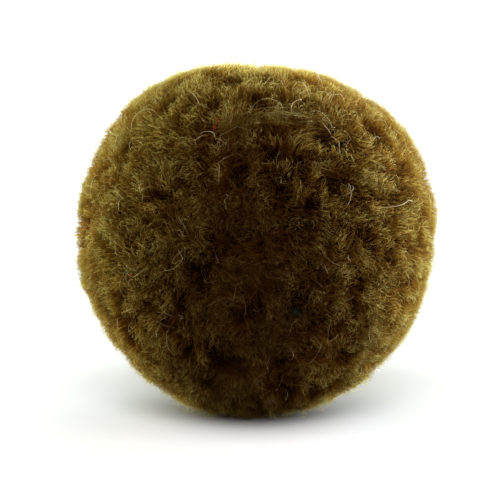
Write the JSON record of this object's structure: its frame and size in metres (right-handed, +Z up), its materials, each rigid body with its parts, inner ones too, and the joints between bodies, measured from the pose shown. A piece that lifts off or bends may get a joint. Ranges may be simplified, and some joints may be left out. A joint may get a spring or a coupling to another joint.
{
  "type": "pom pom",
  "caption": "Round fluffy wool yarn pom pom in olive brown, trimmed to a slightly uneven ball with a small flat spot that it rests on.",
  "frame": {"origin": "middle of the small flat spot that the ball rests on", "axes": "+Z up from the surface through the ball's centre, the pictured side faces -Y, +X is to its right"},
  "size_m": [0.0299, 0.0301, 0.0288],
  "materials": {
    "yarn": "dull cut wool yarn, olive brown, lighter at the fibre tips"
  },
  "bodies": {
    "root": {"pom_pom": "yarn"}
  },
  "joints": []
}
